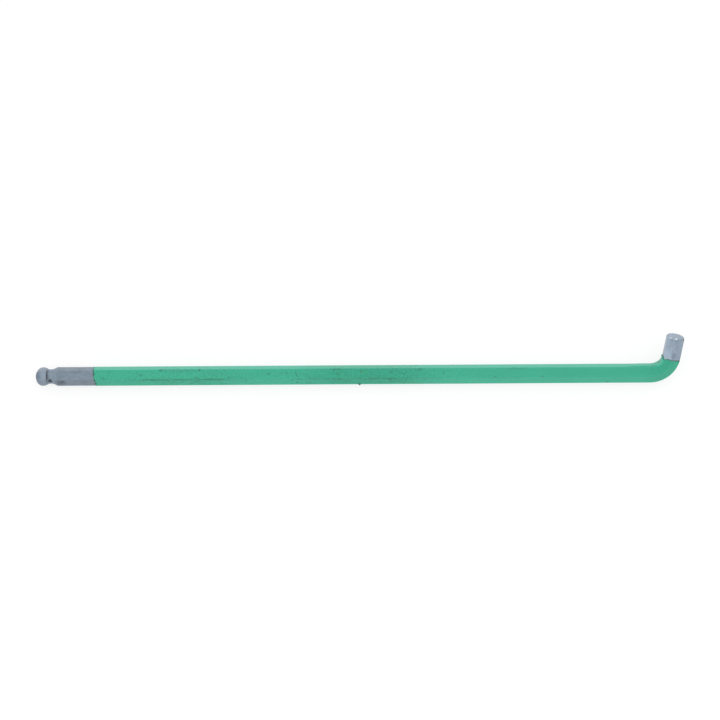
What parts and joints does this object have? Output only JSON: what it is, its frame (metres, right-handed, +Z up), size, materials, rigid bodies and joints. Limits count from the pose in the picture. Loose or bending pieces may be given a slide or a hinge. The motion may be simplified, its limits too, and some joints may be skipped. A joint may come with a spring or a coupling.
{
  "type": "ball-end hex key",
  "caption": "L-shaped hexagonal key with a ball end on its long arm, a short plain arm, and a thin green colour coating that leaves both ends bare",
  "frame": {"origin": "on the flat that the key rests on, below the middle of the long arm's axis", "axes": "+X along the long arm from the ball end to the bend, +Z up from the flat it rests on, +Y to the side on which the short arm rises"},
  "size_m": [0.1552, 0.0117, 0.0085],
  "materials": {
    "satin_steel": "satin, bluish grey, lightly marked",
    "green_coating": "thin satin coating, with grime along its edges"
  },
  "bodies": {
    "root": {"steel_key": "satin_steel", "colour_coating": "green_coating"}
  },
  "joints": []
}
